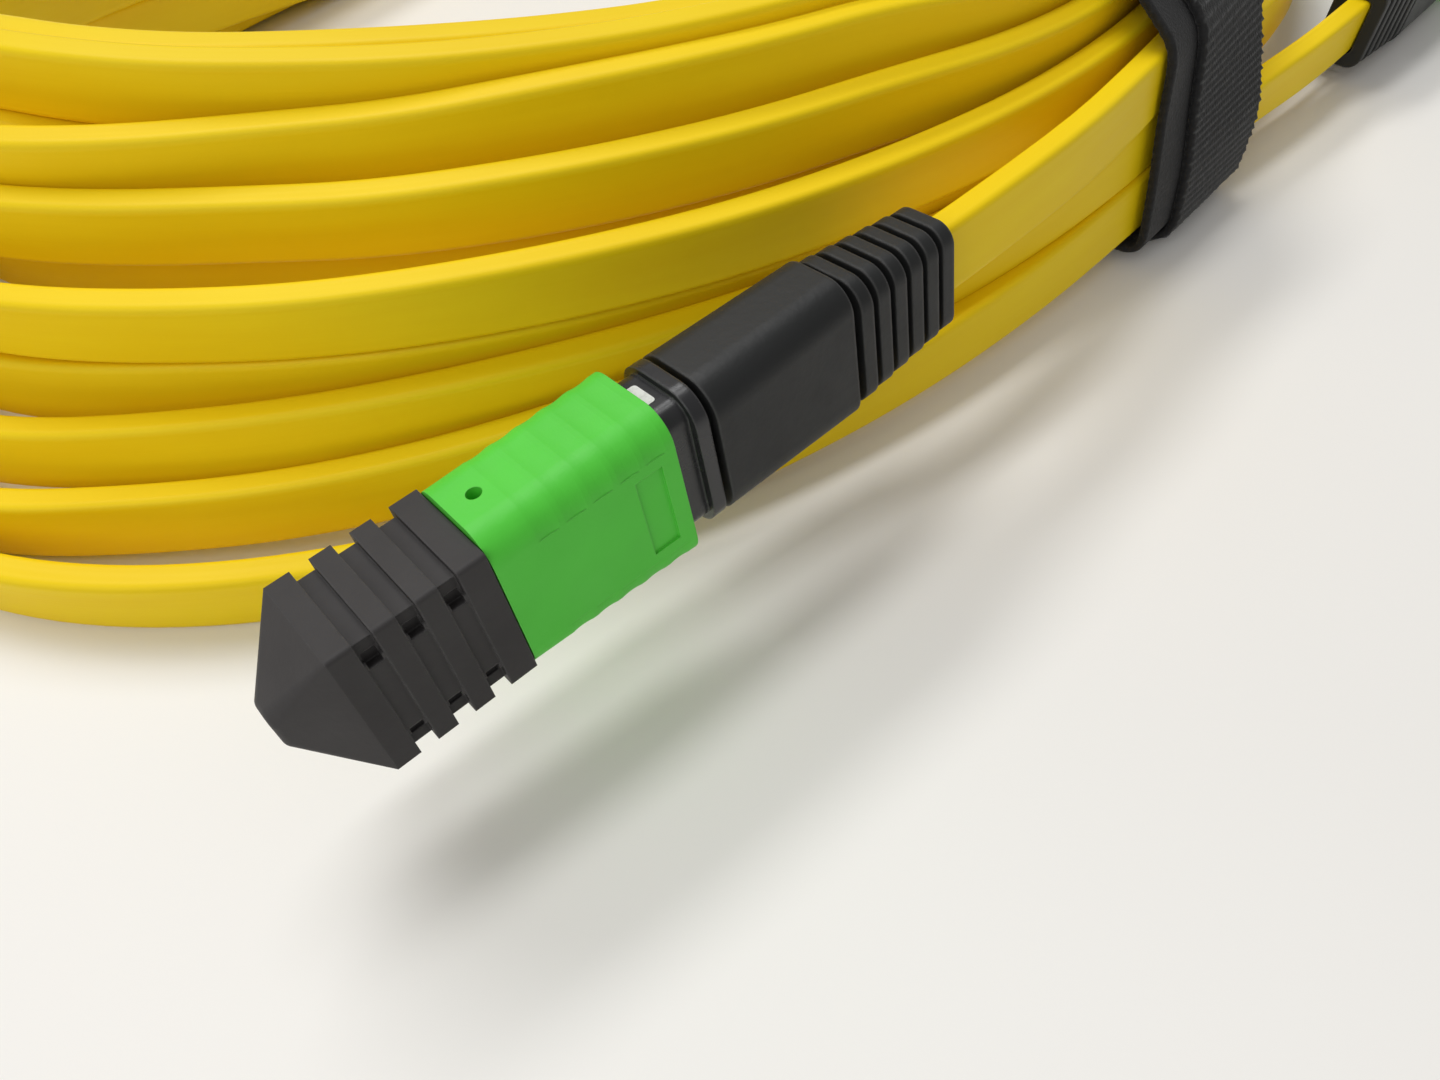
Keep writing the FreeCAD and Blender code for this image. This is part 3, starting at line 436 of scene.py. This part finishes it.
def make_strap():
    after = HUG_LEFT[1:] + HUG_LEFT[:1]
    lengths = [np.linalg.norm(np.subtract(b, a)) for a, b in zip(HUG_LEFT, after)]
    counts = [max(4, round(length / STRAP_CELL)) for length in lengths]
    left, right = hug_loop(HUG_LEFT, counts, HUG_BLUR), hug_loop(HUG_RIGHT, counts, HUG_BLUR)
    turn = len(left)
    rings = round(STRAP_TURNS * turn)
    front = sum(counts[:HUG_FRONT])
    across = np.linspace(-STRAP_WIDTH / 2, STRAP_WIDTH / 2, STRAP_ACROSS + 1)
    under = across[::-UNDER_STRIDE]
    rng = np.random.default_rng(STRAP_SEED)
    yaw = math.radians(TIE_YAW)
    skin, hook_glints = [], []
    for ring in range(rings):
        k = ring % turn
        middle = STRAP_START + STRAP_SHIFT * (ring - front) / turn
        rise = np.clip((ring - (turn - RISE_BEFORE)) / RISE_STEPS, 0.0, 1.0)
        lift = (STRAP_THICK + LAYER_GAP) * rise ** 2 * (3 - 2 * rise)
        rough = np.clip((ring - (turn - HOOKS_BEFORE)) / HOOKS_BEFORE, 0.0, 1.0)
        frayed = FRAY * (1 if ring // 2 % 2 else -1)
        row = HOOK_ROWS[ring % len(HOOK_ROWS)]
        for side, places in ((1, across), (0, under)):
            for j, place in enumerate(places):
                edge = j in (0, len(places) - 1)
                x = middle + place
                if edge:
                    x += frayed * (1.0 if place > 0 else FRAY_LEFT)
                share = (x + TIE_HALF) / (2 * TIE_HALF)
                here = left[k] + share * (right[k] - left[k])
                ahead = left[(k + 1) % turn] + share * (right[(k + 1) % turn] - left[(k + 1) % turn])
                behind = left[k - 1] + share * (right[k - 1] - left[k - 1])
                tangent = (ahead - behind) / np.linalg.norm(ahead - behind)
                normal = np.array((-tangent[1], tangent[0]))
                loop = 0.0
                if side and not edge:
                    knot = 1.0 if (j + ring // len(HOOK_ROWS)) % 2 else 0.2
                    hooked = SMOOTH_SIDE + (1.0 - SMOOTH_SIDE) * rough
                    loop = hooked * row * knot * rng.uniform(0.6, 1.0)
                if side:
                    height = STRAP_THICK * (EDGE_THICK if edge else 1.0) + HOOK_HEIGHT * loop
                else:
                    height = EDGE_ROUND if edge else 0.0
                out = lift + height
                y, z = here + out * normal
                skin.append((MM * (TIE_PLACE[0] + x * math.cos(yaw) - y * math.sin(yaw)),
                             MM * (TIE_PLACE[1] + x * math.sin(yaw) + y * math.cos(yaw)), MM * z))
                # Hook height squared, kept as the mask for the painted sheen on the hook tips.
                hook_glints.append(loop ** 2)
    around = len(across) + len(under)
    obj = mesh_object("strap", skin, tube_faces(rings, around), strap_material())
    add_attribute(obj, "hook_glint", hook_glints)
    skin = np.array(skin).reshape(rings, around, 3)
    middle_line = skin[:, len(across) // 2]
    return obj, float(np.linalg.norm(np.diff(middle_line[::LENGTH_STRIDE], axis=0), axis=1).sum())


strap, strap_length = make_strap()
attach(strap, "cord")
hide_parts("tie")

# Finishes of the CAD pieces

BLACK_WORN = linear(120, 119, 118)
GREEN_WORN = linear(150, 226, 130)
STEEL = linear(196, 198, 200)
STEEL_WORN = linear(225, 225, 225)
FINISHES = {
    "dust_cap": moulded("cap_black", linear(59, 57, 57), BLACK_WORN, 0.58, 1500.0, 0.00025,
                        Specular_IOR_Level=0.25),
    "coupling_sleeve": moulded("sleeve_green", linear(84, 206, 61), GREEN_WORN, 0.5, 1300.0, 0.0001,
                               Specular_IOR_Level=0.35),
    "coupling_springs": moulded("spring_steel", STEEL, STEEL_WORN, 0.28, 900.0, 0.0001,
                                Metallic=1.0),
    "inner_housing": moulded("housing_green", linear(60, 172, 60), GREEN_WORN, 0.45, 1300.0, 0.0002),
    "ferrule": moulded("ferrule_black", linear(44, 44, 46), BLACK_WORN, 0.45, 1800.0, 0.0001),
    "ferrule_spacer": moulded("spacer_black", linear(40, 40, 41), BLACK_WORN, 0.4, 1500.0, 0.0001),
    "ribbon_boot": moulded("ribbon_boot_rubber", linear(58, 58, 60), BLACK_WORN, 0.7, 1200.0, 0.0001),
    "ferrule_spring": moulded("spring_steel_wire", STEEL, STEEL_WORN, 0.28, 900.0, 0.0001,
                              Metallic=1.0),
    "rear_body": moulded("rear_black", linear(38, 38, 40), BLACK_WORN, 0.27, 1100.0, 0.0003,
                         depth=0.00003),
    "crimp_ring": moulded("crimp_steel", linear(190, 190, 188), STEEL_WORN, 0.32, 800.0, 0.0002,
                          Metallic=1.0),
    "boot": moulded("boot_black", linear(37, 38, 38), BLACK_WORN, 0.46, 1500.0, 0.0004,
                    Specular_IOR_Level=0.3),
    "fibre_ribbon": moulded("ribbon_clear", linear(205, 208, 205), linear(235, 235, 235),
                            0.3, 900.0, 0.0001),
}
for kind, material in FINISHES.items():
    for end in ("a", "b"):
        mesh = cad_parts[f"{kind}_{end}"].data
        mesh.materials.clear()
        mesh.materials.append(material)

# The white mark printed on the collar of each rear body, on its narrow side

MARK_START = 15.62
MARK_LENGTH = 1.3
MARK_WIDTH = 2.6
MARK_CORNER = 0.3
MARK_BASE = 5.88
MARK_TOP = 5.96
MARK_STEPS = 4
MARK_HEM = 0.1
PLUG_A_PLACE = (-83.04, -61.223, 18.24)
PLUG_A_TURN = (-9.8, -3.15, -3.35)
PLUG_B_PLACE = (101.87, -61.253, 7.4)
PLUG_B_TURN = (0.0, 0.0, 183.0)


def mark_paint():
    made = Shader("mark_white", Roughness=0.5, Specular_IOR_Level=0.35)
    where = made.place()
    cover = made.noise(where, 2500.0, 3.0)
    tone = made.ramp(cover, (0.25, linear(206, 206, 202)), (0.6, linear(232, 232, 228)))
    made.use("Base Color", tone)
    made.bump(cover, 0.3, 0.00004)
    return made.material


def make_mark(name, place, turn, material):
    """A thin rounded plate of paint on the collar, in the frame of its plug."""
    outline = flat_section(MARK_WIDTH, MARK_LENGTH, MARK_CORNER, MARK_STEPS, MARK_HEM)
    middle = MARK_START + MARK_LENGTH / 2
    stand = Euler([math.radians(a) for a in turn]).to_matrix()
    points = []
    for height in (MARK_BASE, MARK_TOP):
        for x, y in outline:
            points.append(MM * (stand @ Vector((middle + x, y, height)) + Vector(place)))
    obj = mesh_object(name, points, tube_faces(2, len(outline)), material, smooth=False)
    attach(obj, "cord")


white = mark_paint()
make_mark("mark_a", PLUG_A_PLACE, PLUG_A_TURN, white)
make_mark("mark_b", PLUG_B_PLACE, PLUG_B_TURN, white)

# Floor, light and camera

FLOOR_HALF = 3.0
SKY_COLOUR = (1.0, 0.99, 0.975, 1.0)
SKY_STRENGTH = 0.3
LAMP_AIM = (0.0, -0.04, 0.0)
TUBE_SIZE = (1.2, 0.26)
CAMERA_PLACE = (-0.10245, -0.10482, 0.082)
CAMERA_TILT = 37.0
CAMERA_YAW = -45.0
CAMERA_LENS = 27.5


def floor():
    made = Shader("floor_white", Roughness=0.55, Specular_IOR_Level=0.25)
    where = made.place()
    cloud = made.noise(where, 9.0, 2.0)
    tone = made.ramp(cloud, (0.3, linear(243, 241, 237)), (0.7, linear(247, 245, 241)))
    made.use("Base Color", tone)
    made.bump(made.noise(where, 900.0, 2.0), 0.06, 0.0001)
    corners = [(FLOOR_HALF * x, FLOOR_HALF * y, 0.0) for x, y in ((-1, -1), (1, -1), (1, 1), (-1, 1))]
    obj = mesh_object("floor", corners, [(0, 1, 2, 3)], made.material, smooth=False)


def lamp(name, place, aim, size, power):
    light = bpy.data.lights.new(name, "AREA")
    light.shape = "ELLIPSE"
    light.size, light.size_y = size
    light.energy = power
    obj = link(bpy.data.objects.new(name, light))
    obj.location = place
    obj.rotation_euler = (Vector(aim) - Vector(place)).to_track_quat("-Z", "Y").to_euler()


def sky():
    world = bpy.data.worlds.new("room")
    scene.world = world
    world.use_nodes = True
    background = world.node_tree.nodes["Background"]
    background.inputs["Color"].default_value = SKY_COLOUR
    background.inputs["Strength"].default_value = SKY_STRENGTH


def camera():
    data = bpy.data.cameras.new("camera")
    data.sensor_fit = "HORIZONTAL"
    data.sensor_width = 36.0
    data.lens = CAMERA_LENS
    data.clip_start = 0.002
    obj = link(bpy.data.objects.new("camera", data))
    obj.location = CAMERA_PLACE
    obj.rotation_euler = Euler((math.radians(CAMERA_TILT), 0.0, math.radians(CAMERA_YAW)))
    scene.camera = obj


floor()
sky()
lamp("overhead", (0.064, 0.424, 1.36), LAMP_AIM, TUBE_SIZE, 6.2)
lamp("behind", (0.096, 0.856, 1.136), LAMP_AIM, TUBE_SIZE, 7.4)
lamp("side", (-0.5, -0.12, 0.38), (-0.03, -0.05, 0.0), (0.5, 0.5), 1.0)
camera()
